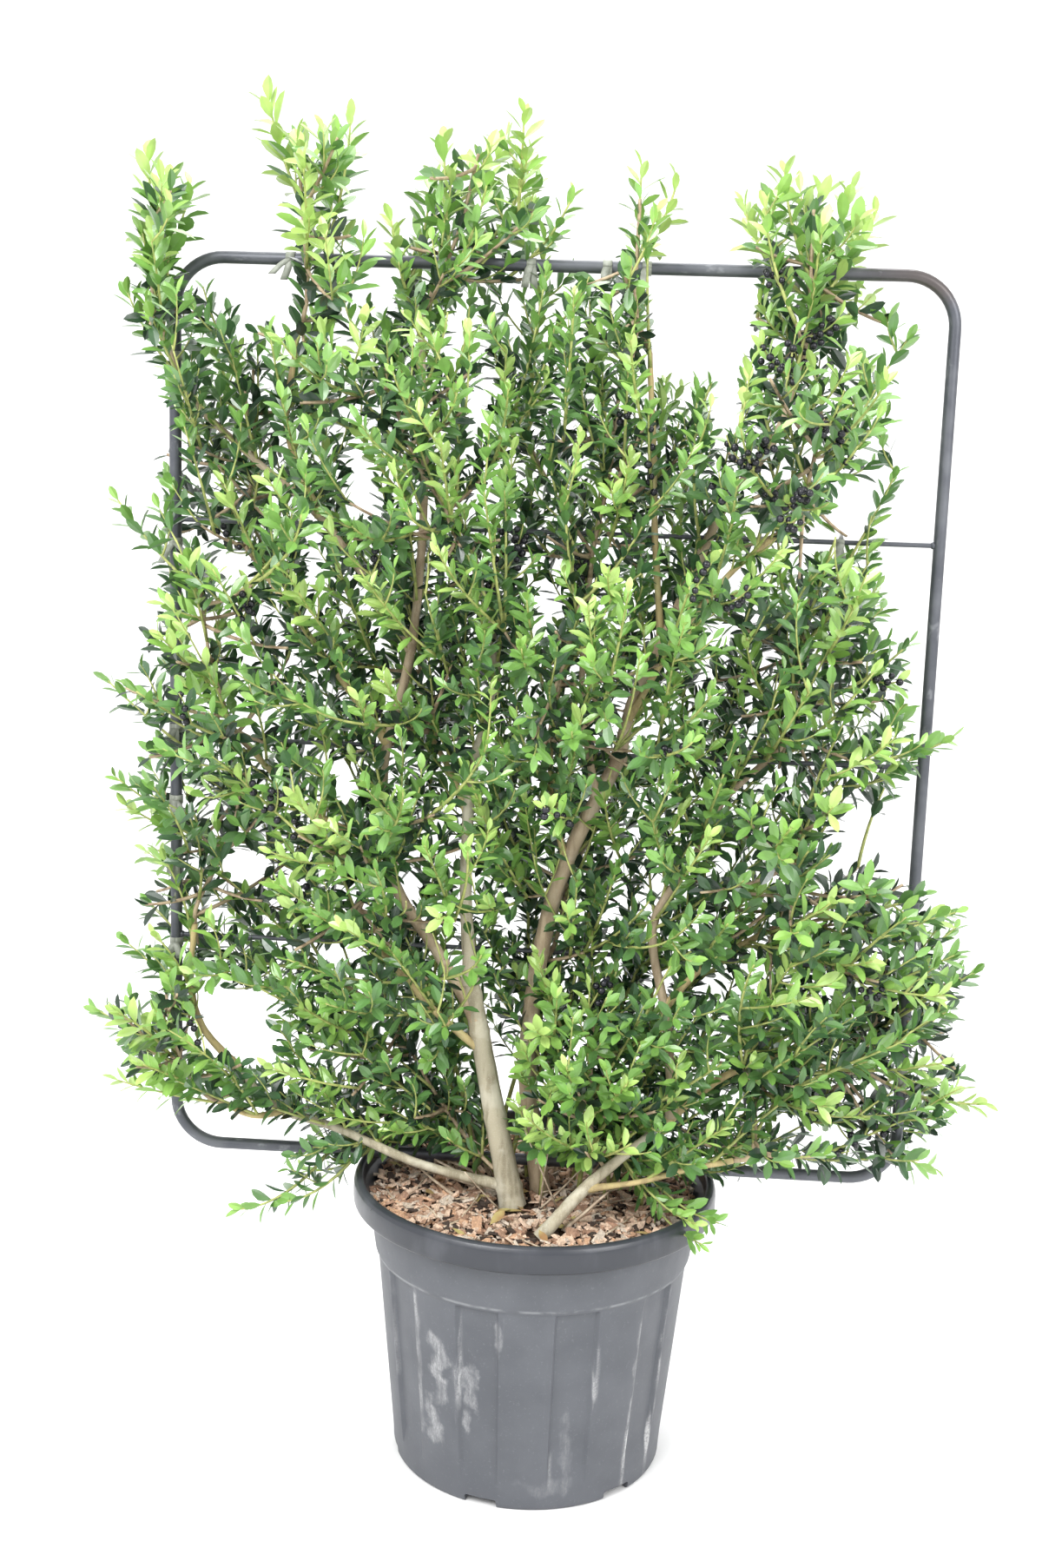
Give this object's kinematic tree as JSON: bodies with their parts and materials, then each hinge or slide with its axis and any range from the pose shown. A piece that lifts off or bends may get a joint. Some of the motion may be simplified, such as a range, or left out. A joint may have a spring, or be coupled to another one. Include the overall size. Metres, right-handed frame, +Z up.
{
  "type": "potted espaliered ilex maximowicziana",
  "caption": "Evergreen holly shrub with small glossy leaves and black berries, trained flat on a steel frame in a round nursery pot with bark mulch.",
  "frame": {"origin": "middle of the pot's flat underside", "axes": "+Z up, +X along the training frame to the right as the front is seen, +Y from the front of the plant to its back"},
  "size_m": [1.144, 0.468, 1.7014],
  "materials": {
    "plastic": "dark grey polypropylene, satin, with pale scuffs",
    "mulch": "loose bark chips, rough",
    "steel": "blue-grey coated steel tube, satin and scuffed",
    "bark": "grey-brown bark, fine and rough",
    "foliage": "glossy green leaves on thin green twigs"
  },
  "bodies": {
    "root": {"pot": "plastic", "frame_left": "steel", "frame_right": "steel", "frame_top": "steel", "frame_bottom": "steel", "frame_bend_top_left": "steel", "frame_bend_top_right": "steel", "frame_bend_bottom_left": "steel", "frame_bend_bottom_right": "steel", "frame_rod_1": "steel", "frame_rod_2": "steel", "frame_rod_3": "steel", "frame_leg_1": "steel", "frame_leg_2": "steel", "mulch": "mulch", "trunk_front": "bark", "trunk_rear": "bark", "trunk_right": "bark", "leader_front": "bark", "bough_left_inner": "bark", "bough_left_diagonal": "bark", "bough_left_high": "bark", "bough_left_shoulder": "bark", "bough_left_mid": "bark", "bough_centre_left": "bark", "bough_left_low": "bark", "bough_foot_left": "bark", "bough_foot_left_rise": "bark", "bough_foot_left_side": "bark", "leader_rear": "bark", "bough_centre_high": "bark", "bough_centre": "bark", "bough_right_shoot": "bark", "bough_centre_mid": "bark", "bough_right": "bark", "bough_right_mid": "bark", "bough_right_low": "bark", "bough_front_right": "bark", "leaves_top_far_left": "foliage", "leaves_top_left": "foliage", "leaves_top_centre": "foliage", "leaves_top_right_centre": "foliage", "leaves_top_right": "foliage", "leaves_left_upper": "foliage", "leaves_centre_left_upper": "foliage", "leaves_centre_upper": "foliage", "leaves_right_upper": "foliage", "leaves_left_mid": "foliage", "leaves_centre_left_mid": "foliage", "leaves_centre_mid": "foliage", "leaves_right_mid": "foliage", "leaves_left_low": "foliage", "leaves_centre_left_low": "foliage", "leaves_centre_low": "foliage", "leaves_right_low": "foliage", "leaves_left_foot": "foliage", "leaves_centre_left_foot": "foliage", "leaves_front_foot": "foliage", "leaves_right_foot": "foliage", "leaves_far_right_foot": "foliage"}
  },
  "joints": []
}
